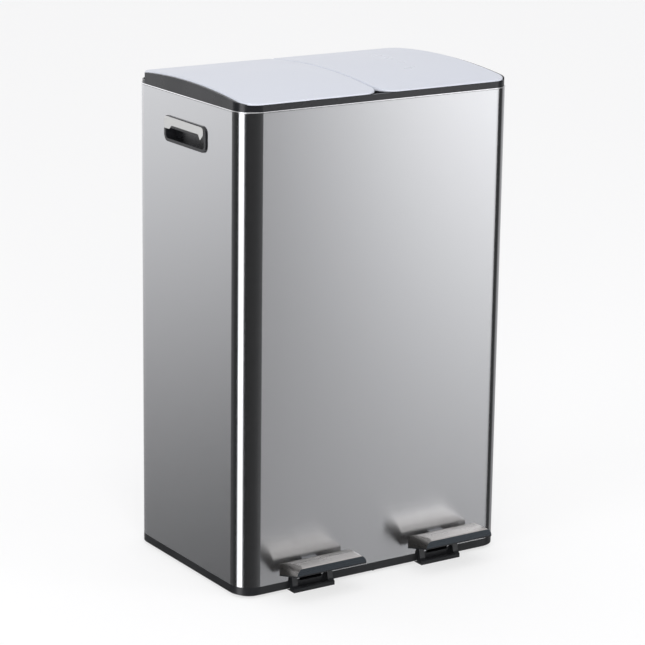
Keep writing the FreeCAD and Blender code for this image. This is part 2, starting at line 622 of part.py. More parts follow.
def lid_liner(side, sign):
    body = new_body(f"lid_liner_{side}")
    near, far = lid_sides(sign)
    plate_x = (f"{near} + liner_inset", f"{far} - liner_inset")
    front = "(opening_front - plug_gap)"
    corners = ("opening_radius",) * 2 + outer_then_inner(sign, "lid_corner_back - liner_inset", "2 * plug_wall")
    pad_box(body, plate_x, (f"-{front}", "hinge_y + 3"), "plug_foot", "lid_crown", radius=corners)
    below = "(lid_skin + liner_thick)"
    hollow_out(body, f"lid_liner_{side}_hollow", (f"{plate_x[0]} + plug_wall", f"{plate_x[1]} - plug_wall"),
               (f"-{front} + plug_wall", "hinge_y + 4"), "plug_foot - 1", f"lid_crown - {below}",
               f"arch_radius - {below}", tuple(f"{corner} - plug_wall" for corner in corners))
    # two knuckles on webs
    for spread in ("- hinge_spread", "+ hinge_spread"):
        low = f"{sign}lid_x {spread} - knuckle_length / 2"
        sketch = new_sketch(body, "YZ_Plane", low)
        draw_box(sketch, "hinge_y - knuckle_radius", "hinge_y + knuckle_radius - 1", "hinge_z", "lid_crown - 3")
        extrude(body, "Pad", sketch, "knuckle_length")
        sketch = new_sketch(body, "YZ_Plane", low)
        draw_circle(sketch, "hinge_y", "hinge_z", "knuckle_radius")
        extrude(body, "Pad", sketch, "knuckle_length")
    # the crank: two cheeks that hang in front of the hinge axis
    pin_y = "(hinge_y - crank_forward)"
    pin_z = "(hinge_z - crank_down)"
    boss = "(crank_pin_radius + 1.7)"
    for low in ("- crank_inside / 2 - crank_cheek", "+ crank_inside / 2"):
        sketch = new_sketch(body, "YZ_Plane", f"{sign}lid_x {low}")
        draw(sketch, [(f"{pin_y} - {boss}", f"{pin_z} - {boss} / 2"), (f"{pin_y} - {boss} / 2", f"{pin_z} - {boss}"),
                      (f"{pin_y} + {boss} / 2", f"{pin_z} - {boss}"), (f"{pin_y} + {boss}", f"{pin_z} - {boss} / 2"),
                      ("hinge_y - well_front + 1", "hinge_z - 2"), ("hinge_y - 1", "lid_crown - 3"),
                      (f"{pin_y} - {boss}", "lid_crown - 3")])
        extrude(body, "Pad", sketch, "crank_cheek")
    sketch = new_sketch(body, "YZ_Plane", f"{sign}lid_x - crank_inside / 2 - crank_cheek - 1")
    draw_circle(sketch, pin_y, pin_z, "crank_pin_radius + running_gap")
    extrude(body, "Pocket", sketch, "crank_inside + 2 * crank_cheek + 2")
    cut_arch(body, "lid_crown - lid_skin", "arch_radius - lid_skin")
    sketch = new_sketch(body, "YZ_Plane", f"{near} + 1")
    draw_circle(sketch, "hinge_y", "hinge_z", "hinge_radius + running_gap")
    extrude(body, "Pocket", sketch, f"({far}) - ({near}) - 2")
    pin = cylinder(f"crank_pin_{side}", "crank_pin_radius", "crank_inside + 2 * crank_cheek",
                   (f"{sign}lid_x - crank_inside / 2 - crank_cheek", pin_y, pin_z), ALONG_X)
    alone(pin, f"crank_pin_{side}")


def hinge_pins(side, sign):
    reach = "(knuckle_length / 2 + side_gap + ear_thick)"
    pins = [cylinder(f"hinge_pin_{side}", "hinge_radius", f"2 * {reach}",
                     (f"{sign}lid_x {spread} - {reach}", "hinge_y", "hinge_z"), ALONG_X)
            for spread in ("- hinge_spread", "+ hinge_spread")]
    group(f"hinge_pins_{side}", pins)


# Buffers on the shelf, under the front corners of the lids
def lid_buffers():
    reach = "opening_front + buffer_radius + 0.6"
    buffers = [cylinder("lid_buffer", "buffer_radius", "brow_height + lid_lift - seat_gap - seat_height",
                        (f"{sign}lid_x {spread} 60", f"-({reach})", "seat_height"))
               for side, sign in SIDES for spread in "-+"]
    group("lid_buffers", buffers)


# Push rods: a steel rod with a plastic shoe at each end, in guides on the back wall
ROD_TOP = "(hinge_z - crank_down - crank_pin_radius - rod_play)"
LEVER_AT_ROD = "(lever_pivot_z - lever_slope * (lever_pivot_y + rod_y))"
ROD_FOOT = f"({LEVER_AT_ROD} + lever_height / 2 + rod_play)"


def push_rod(side, sign):
    grip = "(shoe_height - 2)"
    rod = cylinder(f"push_rod_{side}", "rod_radius", f"{ROD_TOP} - {ROD_FOOT} - 4",
                   (f"{sign}lid_x", "rod_y", f"{ROD_FOOT} + 2"))
    alone(rod, f"push_rod_{side}")
    for place, low, bore in (("top", f"{ROD_TOP} - shoe_height", f"{ROD_TOP} - shoe_height"),
                             ("foot", ROD_FOOT, f"{ROD_FOOT} + shoe_height - {grip}")):
        body = new_body(f"rod_{place}_{side}")
        pad_box(body, (f"{sign}lid_x - shoe_width / 2", f"{sign}lid_x + shoe_width / 2"),
                ("rod_y - shoe_depth / 2", "rod_y + shoe_depth / 2"), low, f"{low} + shoe_height",
                radius="shoe_width / 4")
        sketch = new_sketch(body, "XY_Plane", bore)
        draw_circle(sketch, f"{sign}lid_x", "rod_y", "rod_radius + running_gap")
        extrude(body, "Pocket", sketch, grip)


def rod_guides(side, sign):
    guides = []
    back = f"({HALF_D} - sheet_thick)"
    for height in ("guide_low", "guide_high"):
        body = doc.addObject("PartDesign::Body", f"rod_guide_{side}")
        top = f"{height} + guide_height"
        pad_box(body, (f"{sign}lid_x - 1.6 * guide_reach", f"{sign}lid_x + 1.6 * guide_reach"),
                (f"{back} - 2.4", back), height, top)
        pad_box(body, (f"{sign}lid_x - 2.5", f"{sign}lid_x + 2.5"), ("rod_y + rod_radius", f"{back} - 1"),
                height, top)
        sketch = new_sketch(body, "XY_Plane", height)
        draw_circle(sketch, f"{sign}lid_x", "rod_y", "guide_reach * 0.65")
        extrude(body, "Pad", sketch, "guide_height")
        sketch = new_sketch(body, "XY_Plane", height)
        draw_circle(sketch, f"{sign}lid_x", "rod_y", "rod_radius + running_gap")
        extrude(body, "Pocket", sketch, "guide_height")
        guides.append(body)
    group(f"rod_guides_{side}", guides)


# Pedals: a channel lever on a pin, with a steel tread over a moulded base at its front end
def lever_line(y, offset):
    return f"lever_pivot_z - lever_slope * (lever_pivot_y + ({y})) + ({offset})"


LEVER_FRONT = f"(-{HALF_D} - lever_reach)"
LEVER_BACK = "(rod_y + lever_tip)"


def lever_outline(sketch, bottom, top, grow="0"):
    front, back = f"({LEVER_FRONT} - {grow})", f"({LEVER_BACK} + {grow})"
    draw(sketch, [(front, lever_line(front, bottom)), (back, lever_line(back, bottom)),
                  (back, lever_line(back, top)), (front, lever_line(front, top))])


def pedal_lever(side, sign):
    body = new_body(f"pedal_lever_{side}")
    sketch = new_sketch(body, "YZ_Plane", f"{sign}lid_x - lever_width / 2")
    lever_outline(sketch, "-lever_height / 2", "lever_height / 2")
    extrude(body, "Pad", sketch, "lever_width")
    sketch = new_sketch(body, "YZ_Plane", f"{sign}lid_x - lever_width / 2 + lever_wall")
    lever_outline(sketch, "-lever_height / 2 - 1", "lever_height / 2 - lever_wall", "-lever_wall")
    extrude(body, "Pocket", sketch, "lever_width - 2 * lever_wall")
    sketch = new_sketch(body, "YZ_Plane", f"{sign}lid_x - lever_width / 2 - 1")
    draw_circle(sketch, "-lever_pivot_y", "lever_pivot_z", "pivot_radius + running_gap")
    extrude(body, "Pocket", sketch, "lever_width + 2")


PEDAL_BACK = f"(-{HALF_D} - pedal_back)"
PEDAL_FRONT = f"(-{HALF_D} - pedal_front)"


def tread_top(inset, ceiling):
    """Side view of what lies above the tread: its curved top, lowered by inset, then up to the ceiling."""
    return [(f"{PEDAL_FRONT} - 1", f"pedal_top - pedal_nose - {inset}"),
            (f"{PEDAL_FRONT} + {inset}", f"pedal_top - pedal_nose - {inset}"),
            (f"{PEDAL_FRONT} + pedal_nose + {inset}", f"pedal_top - 0.2 - {inset}"),
            (f"{PEDAL_FRONT} + 8", f"pedal_top - {inset}"),
            (f"{PEDAL_BACK} - 24", f"pedal_top - 0.4 - {inset}"),
            (f"{PEDAL_BACK} - 12", f"(pedal_back_top + 2 * pedal_top) / 3 - {inset}"),
            (f"{PEDAL_BACK} + 1", f"pedal_back_top - {inset}"),
            (f"{PEDAL_BACK} + 1", ceiling), (f"{PEDAL_FRONT} - 1", ceiling)]


def tread_foot(rise, floor):
    """Side view of what lies below the tread, whose underside climbs towards the front."""
    front, back = f"pedal_front_foot + {rise}", f"pedal_back_foot + {rise}"
    return [(f"{PEDAL_FRONT} - 1", front), (PEDAL_FRONT, front), (PEDAL_BACK, back), (f"{PEDAL_BACK} + 1", back),
            (f"{PEDAL_BACK} + 1", floor), (f"{PEDAL_FRONT} - 1", floor)]


def tread_form(body, sign, inset, radius, low_trim):
    """The pedal's rounded front view, drawn back to the casing and trimmed to its side view."""
    sketch = new_sketch(body, "XZ_Plane", f"-({PEDAL_BACK}) + {inset}")
    draw_round_box(sketch, f"{sign}lid_x - pedal_half + {inset}", f"{sign}lid_x + pedal_half - {inset}",
                   "pedal_back_foot - 2", "pedal_top + 0.2", ("1", "1", radius, radius))
    extrude(body, "Pad", sketch, f"pedal_front - pedal_back - 2 * {inset}")
    for outline in (tread_top(inset, "pedal_top + 5"), tread_foot(low_trim, "pedal_back_foot - 5")):
        sketch = new_sketch(body, "YZ_Plane", f"{sign}lid_x - pedal_half - 1")
        draw(sketch, outline)
        extrude(body, "Pocket", sketch, "2 * pedal_half + 2")


def pedal(side, sign):
    tread = new_body(f"pedal_tread_{side}")
    tread_form(tread, sign, "0", "pedal_corner", "pedal_lip")
    hollow = doc.addObject("PartDesign::Body", f"pedal_tread_{side}_hollow")
    tread_form(hollow, sign, "pedal_cover", "pedal_corner - pedal_cover", "pedal_lip - 1")
    boolean = tread.newObject("PartDesign::Boolean", f"pedal_tread_{side}_cut")
    boolean.Type = "Cut"
    boolean.addObjects([hollow])
    doc.recompute()
    # the moulded base closes the tread from below and takes the lever
    base = new_body(f"pedal_base_{side}")
    sketch = new_sketch(base, "YZ_Plane", f"{sign}lid_x - pedal_half")
    draw(sketch, [(PEDAL_FRONT, "pedal_front_foot"), (PEDAL_BACK, "pedal_back_foot"),
                  (PEDAL_BACK, "pedal_back_foot + pedal_lip"), (PEDAL_FRONT, "pedal_front_foot + pedal_lip")])
    extrude(base, "Pad", sketch, "2 * pedal_half")
    grip = "(lever_width / 2 + 4)"
    sketch = new_sketch(base, "YZ_Plane", f"{sign}lid_x - {grip}")
    inset = "(pedal_cover + 0.1)"
    draw(sketch, tread_top(inset, "pedal_front_foot")[1:6]
         + [(f"{PEDAL_BACK} - 1.4", f"pedal_back_top - {inset}"), (f"{PEDAL_BACK} - 1.4", "pedal_back_foot + 1"),
            (f"{PEDAL_FRONT} + {inset}", "pedal_front_foot + 1")])
    extrude(base, "Pad", sketch, f"2 * {grip}")
    sketch = new_sketch(base, "YZ_Plane", f"{sign}lid_x - lever_width / 2 - 0.1")
    lever_outline(sketch, "-lever_height / 2 - 0.1", "lever_height / 2 + 0.1", "0.1")
    extrude(base, "Pocket", sketch, "lever_width + 0.2")
    # the lever leaves through the back of the tread
    sketch = new_sketch(tread, "YZ_Plane", f"{sign}lid_x - lever_width / 2 - 0.4")
    lever_outline(sketch, "-lever_height / 2 - 0.4", "lever_height / 2 + 0.4", "0.4")
    extrude(tread, "Pocket", sketch, "lever_width + 0.8")


def pivot_bracket(side, sign):
    body = new_body(f"pivot_bracket_{side}")
    inner = "(lever_width / 2 + bracket_gap)"
    outer = f"({inner} + bracket_wall)"
    front, back = "(-lever_pivot_y - bracket_length / 2)", "(-lever_pivot_y + bracket_length / 2)"
    pad_box(body, (f"{sign}lid_x - {outer} - 9", f"{sign}lid_x + {outer} + 9"), (front, back),
            "base_floor", "base_floor + bracket_wall", radius="3")
    for low in (f"- {outer}", f"+ {inner}"):
        sketch = new_sketch(body, "YZ_Plane", f"{sign}lid_x {low}")
        draw(sketch, [(front, "base_floor"), (back, "base_floor"), (back, "base_floor + 6"),
                      ("-lever_pivot_y + bracket_rim", "lever_pivot_z + bracket_rim"),
                      ("-lever_pivot_y - bracket_rim", "lever_pivot_z + bracket_rim"),
                      (front, "base_floor + 6")])
        extrude(body, "Pad", sketch, "bracket_wall")
    sketch = new_sketch(body, "YZ_Plane", f"{sign}lid_x - {outer} - 1")
    draw_circle(sketch, "-lever_pivot_y", "lever_pivot_z", "pivot_radius + running_gap")
    extrude(body, "Pocket", sketch, f"2 * {outer} + 2")
    sketch = new_sketch(body, "XY_Plane", "base_floor")
    for x in (f"{sign}lid_x - {outer} - 4.5", f"{sign}lid_x + {outer} + 4.5"):
        for y in (f"{front} + 7", f"{back} - 7"):
            draw_circle(sketch, x, y, "screw_radius + running_gap")
    extrude(body, "Pocket", sketch, "bracket_wall")
    reach = f"({outer} + 1.2)"
    pin = cylinder(f"pivot_pin_{side}", "pivot_radius", f"2 * {reach}",
                   (f"{sign}lid_x - {reach}", "-lever_pivot_y", "lever_pivot_z"), ALONG_X)
    alone(pin, f"pivot_pin_{side}")


def bracket_screws():
    screws = []
    outer = "(lever_width / 2 + bracket_gap + bracket_wall)"
    for side, sign in SIDES:
        for x in (f"{sign}lid_x - {outer} - 4.5", f"{sign}lid_x + {outer} + 4.5"):
            for y in ("(-lever_pivot_y - bracket_length / 2) + 7", "(-lever_pivot_y + bracket_length / 2) - 7"):
                shank = cylinder("screw_shank", "screw_radius", "bracket_wall", (x, y, "base_floor"))
                head = cylinder("screw_head", "screw_head", "screw_head_height",
                                (x, y, "base_floor + bracket_wall"))
                screw = doc.addObject("Part::Fuse", "bracket_screw")
                screw.Base = shank
                screw.Tool = head
                screws.append(screw)
    group("bracket_screws", screws)


# Pedal stops: moulded stirrups in front of the base, between which each lever comes down
def pedal_stop(side, sign):
    body = new_body(f"pedal_stop_{side}")
    face = f"(-{HALF_D})"
    sketch = new_sketch(body, "YZ_Plane", f"{sign}lid_x - stop_half")
    draw(sketch, [(f"{face} - stop_reach", "0"), (f"{face} + foot_inset - 0.8", "0"), (face, "foot_rise - 0.35"),
                  (face, "stop_top"), (f"{face} - stop_neck", "stop_top"),
                  (f"{face} - stop_reach + stop_neck * 1.5", "stop_bar + 2"),
                  (f"{face} - stop_reach", "stop_bar - 1.2")])
    extrude(body, "Pad", sketch, "2 * stop_half")
    inner = "(stop_half - stop_arm)"
    pad_box(body, (f"{sign}lid_x - {inner}", f"{sign}lid_x + {inner}"),
            (f"{face} - stop_reach + 5", f"{face} + foot_inset + 1"), "-1", "stop_top + 1", "Pocket")
    pad_box(body, (f"{sign}lid_x - {inner}", f"{sign}lid_x + {inner}"),
            (f"{face} - stop_reach - 1", f"{face} - stop_reach + 6"), "stop_bar", "stop_top + 1", "Pocket")


# Handles: a bezel on each side with a finger recess that passes through the casing
def handle(side, sign):
    body = new_body(f"handle_{side}")
    # drawn for the right side, then turned half round for the left one
    face = HALF_W
    sketch = new_sketch(body, "YZ_Plane", face)
    front, back = ("-handle_front", "handle_back") if sign == "" else ("-handle_back", "handle_front")
    corners = ("handle_corner",) * 4
    draw_round_box(sketch, front, back, "handle_foot", "handle_top", corners)
    extrude(body, "Pad", sketch, "handle_proud")
    slip = "(handle_border / 2 + seat_gap)"
    depth = "(handle_depth + handle_wall)"
    sketch = new_sketch(body, "YZ_Plane", f"{face} - {depth}")
    draw_round_box(sketch, f"{front} + {slip}", f"{back} - {slip}", f"handle_foot + {slip}",
                   f"handle_top - {slip}", (f"handle_corner - {slip}",) * 4)
    extrude(body, "Pad", sketch, f"{depth} + 0.5")
    sketch = new_sketch(body, "YZ_Plane", f"{face} - handle_depth")
    draw_round_box(sketch, f"{front} + handle_border", f"{back} - handle_border", "handle_foot + handle_border",
                   "handle_top - handle_brow", ("handle_corner - handle_border",) * 4)
    extrude(body, "Pocket", sketch, "handle_depth + handle_proud + 1")
    # the recess rises behind the brow, so that fingers hook under it
    sketch = new_sketch(body, "YZ_Plane", f"{face} - handle_depth")
    draw_round_box(sketch, f"{front} + handle_border", f"{back} - handle_border", "handle_foot + handle_border",
                   "handle_top - handle_border", ("handle_corner - handle_border",) * 4)
    extrude(body, "Pocket", sketch, "handle_depth - 2")
    if sign == "-":
        body.Placement = FreeCAD.Placement(Vector(), FreeCAD.Rotation(Vector(0, 0, 1), 180))


def main():
    casing()
    base_tray()
    floor_pads()
    top_frame()
    lid_buffers()
    bracket_screws()
    for side, sign in SIDES:
        bucket(side, sign)
        lid_cap(side, sign)
        lid_liner(side, sign)
        hinge_pins(side, sign)
        push_rod(side, sign)
        rod_guides(side, sign)
        pedal_lever(side, sign)
        pedal(side, sign)
        pivot_bracket(side, sign)
        pedal_stop(side, sign)
        handle(side, sign)
    doc.recompute()
    for item in doc.Objects:
        if "Invalid" in item.State or "Error" in item.State:
            raise RuntimeError(f"{item.Name} failed: {item.State}")
    for node in NODES:
        if node.Shape.isNull() or not node.Shape.isValid():
            raise RuntimeError(f"{node.Label} has no valid shape")
    os.makedirs("parts", exist_ok=True)
    for node in NODES:
        node.Shape.exportStep(f"parts/{node.Label}.step")
        box = node.Shape.BoundBox
        print(f"{node.Label:20s} {len(node.Shape.Solids)} solids {node.Shape.Volume:10.0f} mm3  "
              f"x {box.XMin:.1f}..{box.XMax:.1f}  y {box.YMin:.1f}..{box.YMax:.1f}  z {box.ZMin:.1f}..{box.ZMax:.1f}")


main()
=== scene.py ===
import math

import bmesh
import bpy
from mathutils import Matrix, Vector


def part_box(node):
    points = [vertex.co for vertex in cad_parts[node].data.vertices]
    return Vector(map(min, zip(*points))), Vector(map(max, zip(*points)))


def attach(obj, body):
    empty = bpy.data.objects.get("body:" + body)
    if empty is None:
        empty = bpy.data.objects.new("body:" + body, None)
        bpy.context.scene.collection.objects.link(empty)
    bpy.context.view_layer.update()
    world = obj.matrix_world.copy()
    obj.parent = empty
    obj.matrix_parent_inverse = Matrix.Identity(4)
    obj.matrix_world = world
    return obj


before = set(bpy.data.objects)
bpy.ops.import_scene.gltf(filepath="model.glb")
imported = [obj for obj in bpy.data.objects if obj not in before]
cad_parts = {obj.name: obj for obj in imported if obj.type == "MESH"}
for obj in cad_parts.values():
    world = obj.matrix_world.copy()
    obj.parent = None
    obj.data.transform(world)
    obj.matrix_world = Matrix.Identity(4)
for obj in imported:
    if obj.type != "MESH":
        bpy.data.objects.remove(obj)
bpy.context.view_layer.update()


# ---------------------------------------------------------------------------------------------
# Base tray and its anti-slip pads. The tray is one black polypropylene moulding: its band shows
# below the casing, its spigot holds the sheet in place. The pads are soft rubber discs set into
# its underside.
def new_group(name, inputs, outputs):
    """A shader node group with the named number inputs and outputs."""
    group = bpy.data.node_groups.new(name, "ShaderNodeTree")
    for label, default in inputs.items():
        socket = group.interface.new_socket(label, in_out="INPUT", socket_type="NodeSocketFloat")
        socket.default_value = default
    for label, kind in outputs.items():
        group.interface.new_socket(label, in_out="OUTPUT", socket_type=kind)
    return group, group.nodes.new("NodeGroupInput"), group.nodes.new("NodeGroupOutput")


def add_node(tree, kind, inputs=None, **settings):
    """A node with its settings, and its inputs as numbers, colours or links from other sockets."""
    node = tree.nodes.new(f"ShaderNode{kind}")
    for key, setting in settings.items():
        setattr(node, key, setting)
    for key, given in (inputs or {}).items():
        if isinstance(given, bpy.types.NodeSocket):
            tree.links.new(given, node.inputs[key])
        else:
            node.inputs[key].default_value = given
    return node


def moulded_texture():
    """The spark-eroded grain of a moulding: shallow bumps and a gloss that wanders a little."""
    group, given, result = new_group(
        "moulded_texture",
        {"Grain size": 0.0005, "Depth": 0.00002, "Gloss spread": 0.06, "Roughness": 0.4},
        {"Roughness": "NodeSocketFloat", "Normal": "NodeSocketVector", "Tone": "NodeSocketFloat"})
    place = add_node(group, "TexCoord").outputs["Object"]
    fineness = add_node(group, "Math", {0: 1.0, 1: given.outputs["Grain size"]}, operation="DIVIDE")
    grain = add_node(group, "TexNoise", {"Vector": place, "Scale": fineness.outputs[0], "Detail": 2.0})
    cloud = add_node(group, "TexNoise", {"Vector": place, "Scale": 14.0, "Detail": 3.0})
    swing = add_node(group, "MapRange", {"Value": cloud.outputs["Fac"], "From Min": 0.3, "From Max": 0.7,
                                         "To Min": -1.0, "To Max": 1.0})
    wander = add_node(group, "Math", {0: swing.outputs[0], 1: given.outputs["Gloss spread"],
                                      2: given.outputs["Roughness"]}, operation="MULTIPLY_ADD")
    bump = add_node(group, "Bump", {"Height": grain.outputs["Fac"], "Distance": given.outputs["Depth"]})
    group.links.new(wander.outputs[0], result.inputs["Roughness"])
    group.links.new(bump.outputs["Normal"], result.inputs["Normal"])
    group.links.new(cloud.outputs["Fac"], result.inputs["Tone"])
    return group


MOULDED = moulded_texture()


def new_material(name):
    """A material with only its output and one Principled shader."""
    material = bpy.data.materials.new(name)
    material.use_nodes = True
    tree = material.node_tree
    shader = next(node for node in tree.nodes if node.type == "BSDF_PRINCIPLED")
    return material, tree, shader


def moulding(name, dark, light, roughness, spread=0.06, grain=0.0005, depth=0.00002):
    """A moulded plastic whose tone wanders between two near colours."""
    material, tree, shader = new_material(name)
    texture = add_node(tree, "Group", node_tree=MOULDED)
    for label, number in (("Grain size", grain), ("Depth", depth), ("Gloss spread", spread),
                          ("Roughness", roughness)):
        texture.inputs[label].default_value = number
    tone = add_node(tree, "Mix", {"Factor": texture.outputs["Tone"], "A": (*dark, 1), "B": (*light, 1)},
                    data_type="RGBA")
    tree.links.new(tone.outputs["Result"], shader.inputs["Base Color"])
    tree.links.new(texture.outputs["Roughness"], shader.inputs["Roughness"])
    tree.links.new(texture.outputs["Normal"], shader.inputs["Normal"])
    return material


def dress(nodes, material):
    """Gives carried-over nodes a material."""
    for name in nodes:
        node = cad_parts[name]
        for slot in node.material_slots:
            slot.material = material


SIDES = ("left", "right")


def both(*names):
    """The names of the left and right nodes of each kind."""
    return [f"{name}_{side}" for name in names for side in SIDES]


black_plastic = moulding("black_polypropylene", (0.012, 0.0125, 0.014), (0.020, 0.021, 0.023), 0.36)
black_rubber = moulding("black_rubber", (0.014, 0.014, 0.014), (0.024, 0.024, 0.024), 0.75, grain=0.0008)
dress(["base_tray"], black_plastic)
dress(["floor_pads", "lid_buffers"], black_rubber)


# ---------------------------------------------------------------------------------------------
# Casing. One stainless sheet, brushed along its length and wrapped round, so that the grain runs
# level all the way round and reflections are smeared upright. Its top edge is rolled into a hem,
# which is coloured near white as a painted highlight.
STROKES_PER_METRE = 45.0        # along the grain


def brushed_texture():
    """Brush lines along X and Y, close together up Z: a wandering gloss, tone and fine grooves."""
    group, given, result = new_group(
        "brushed_texture",
        {"Roughness": 0.3, "Gloss spread": 0.05, "Depth": 0.000004, "Lines per metre": 2600.0},
        {"Roughness": "NodeSocketFloat", "Normal": "NodeSocketVector", "Tone": "NodeSocketFloat"})
    place = add_node(group, "TexCoord").outputs["Object"]
    axes = add_node(group, "SeparateXYZ", {0: place})
    upward = add_node(group, "Math", {0: axes.outputs["Z"], 1: given.outputs["Lines per metre"]},
                      operation="MULTIPLY")
    across, inward = (add_node(group, "Math", {0: axes.outputs[axis], 1: STROKES_PER_METRE},
                               operation="MULTIPLY") for axis in "XY")
    lines = add_node(group, "CombineXYZ", {"X": across.outputs[0], "Y": inward.outputs[0],
                                           "Z": upward.outputs[0]})
    fine = add_node(group, "TexNoise", {"Vector": lines.outputs[0], "Scale": 1.0, "Detail": 3.0})
    swing = add_node(group, "MapRange", {"Value": fine.outputs["Fac"], "From Min": 0.3, "From Max": 0.7,
                                         "To Min": -1.0, "To Max": 1.0})
    wander = add_node(group, "Math", {0: swing.outputs[0], 1: given.outputs["Gloss spread"],
                                      2: given.outputs["Roughness"]}, operation="MULTIPLY_ADD")
    bump = add_node(group, "Bump", {"Height": fine.outputs["Fac"], "Distance": given.outputs["Depth"]})
    group.links.new(wander.outputs[0], result.inputs["Roughness"])
    group.links.new(bump.outputs["Normal"], result.inputs["Normal"])
    group.links.new(fine.outputs["Fac"], result.inputs["Tone"])
    return group


BRUSHED = brushed_texture()


def brushed_metal(name, dark, light, roughness, anisotropy, spread=0.04, depth=0.000003, lines=2600.0):
    """Brushed metal; the grain is level, so highlights are drawn out upright."""
    material, tree, shader = new_material(name)
    texture = add_node(tree, "Group", node_tree=BRUSHED)
    for label, number in (("Roughness", roughness), ("Gloss spread", spread), ("Depth", depth),
                          ("Lines per metre", lines)):
        texture.inputs[label].default_value = number
    tone = add_node(tree, "Mix", {"Factor": texture.outputs["Tone"], "A": (*dark, 1), "B": (*light, 1)},
                    data_type="RGBA")
    tree.links.new(tone.outputs["Result"], shader.inputs["Base Color"])
    tree.links.new(texture.outputs["Roughness"], shader.inputs["Roughness"])
    tree.links.new(texture.outputs["Normal"], shader.inputs["Normal"])
    shader.inputs["Metallic"].default_value = 1.0
    if anisotropy:
        level = add_node(tree, "Tangent", direction_type="RADIAL", axis="Z")
        tree.links.new(level.outputs[0], shader.inputs["Tangent"])
        shader.inputs["Anisotropic"].default_value = anisotropy
        shader.inputs["Anisotropic Rotation"].default_value = 0.25
    return material


casing_steel = brushed_metal("brushed_stainless", (0.60, 0.605, 0.615), (0.68, 0.685, 0.695), 0.225, 0.84,
                             spread=0.03, depth=0.0000018, lines=3400.0)
dress(["outer_shell"], casing_steel)

SHELL_LOW, SHELL_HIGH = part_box("outer_shell")
CORNER_RADIUS = 0.028
HEM_RADIUS = 0.0009


def ring(name, section, radius, low=SHELL_LOW, high=SHELL_HIGH, steps=10):
    """A closed band round an upright box with rounded corners; section holds (outward, height) points."""
    mesh = bmesh.new()
    rows = []
    box_corners = ((high[0], high[1]), (low[0], high[1]), (low[0], low[1]), (high[0], low[1]))
    for quarter, (x, y) in enumerate(box_corners):
        centre = Vector((x - math.copysign(radius, x), y - math.copysign(radius, y), 0))
        for step in range(steps + 1):
            angle = (quarter + step / steps) * math.pi / 2
            away = Vector((math.cos(angle), math.sin(angle), 0))
            rows.append([mesh.verts.new(centre + away * (radius + out) + Vector((0, 0, up)))
                         for out, up in section])
    for row, following in zip(rows, rows[1:] + rows[:1]):
        for number in range(len(section)):
            after = (number + 1) % len(section)
            mesh.faces.new((row[number], following[number], following[after], row[after]))
    bmesh.ops.recalc_face_normals(mesh, faces=mesh.faces)
    data = bpy.data.meshes.new(name)
    mesh.to_mesh(data)
    for face in data.polygons:
        face.use_smooth = True
    band = bpy.data.objects.new(name, data)
    bpy.context.scene.collection.objects.link(band)
    return band


# painted highlight: the hem is the casing's own sheet, coloured near white for the bright line along its
# rolled edge
hem_highlight_steel = brushed_metal("hem_painted_highlight", (0.86, 0.86, 0.87), (0.92, 0.92, 0.93), 0.22, 0.0, spread=0.02)
HEM_CENTRE = SHELL_HIGH[2] - HEM_RADIUS
bead = [(HEM_RADIUS * math.cos(angle) - HEM_RADIUS / 2, HEM_CENTRE + HEM_RADIUS * math.sin(angle))
        for angle in (math.radians(turn) for turn in range(0, 360, 30))]
top_hem = ring("casing_top_hem", bead, CORNER_RADIUS)
top_hem.data.materials.append(hem_highlight_steel)
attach(top_hem, "casing")


# ---------------------------------------------------------------------------------------------
# Top frame. A black moulding with arched cheeks, pressed into the casing, that carries the
# buckets and the lids' hinges.
rim_plastic = moulding("rim_plastic", (0.012, 0.0125, 0.014), (0.018, 0.0185, 0.021), 0.26)
dress(["top_frame"], rim_plastic)


# ---------------------------------------------------------------------------------------------
# Linkage. Zinc-plated levers, brackets, pins, screws and rods, with natural acetal shoes and
# guides on the rods.
zinc = brushed_metal("zinc_plated_steel", (0.42, 0.43, 0.45), (0.54, 0.55, 0.57), 0.38, 0.0, spread=0.08)
acetal = moulding("natural_acetal", (0.70, 0.70, 0.67), (0.78, 0.78, 0.75), 0.42)
dress(["bracket_screws", *both("pedal_lever", "pivot_bracket", "pivot_pin", "push_rod", "crank_pin",
                               "hinge_pins")], zinc)
dress(both("rod_top", "rod_foot", "rod_guides"), acetal)


# ---------------------------------------------------------------------------------------------
# Buckets. Two grey polypropylene mouldings, tapered so that they lift out, each hanging by its
# rim on the frame's ledges.
bucket_plastic = moulding("bucket_polypropylene", (0.075, 0.078, 0.084), (0.095, 0.098, 0.105), 0.45)
dress(both("bucket"), bucket_plastic)


# ---------------------------------------------------------------------------------------------
# Lids. Two pale satin caps, moulded with a gentle arch, clipped over dark liners that carry the
# hinge knuckles and the crank.
lid_plastic = moulding("pale_lid_plastic", (0.60, 0.625, 0.69), (0.625, 0.65, 0.715), 0.30, spread=0.03,
                       grain=0.0004, depth=0.00001)
liner_plastic = moulding("liner_plastic", (0.045, 0.046, 0.050), (0.060, 0.061, 0.066), 0.5)
dress(both("lid"), lid_plastic)
dress(both("lid_liner"), liner_plastic)


# ---------------------------------------------------------------------------------------------
# Pedals. Each is a pressed steel tread over a moulded base on the end of its lever, with a
# moulded stirrup in front of the tray that stops it.
pedal_steel = brushed_metal("pedal_steel", (0.46, 0.44, 0.42), (0.56, 0.54, 0.52), 0.30, 0.5, spread=0.05)
dress(both("pedal_tread"), pedal_steel)


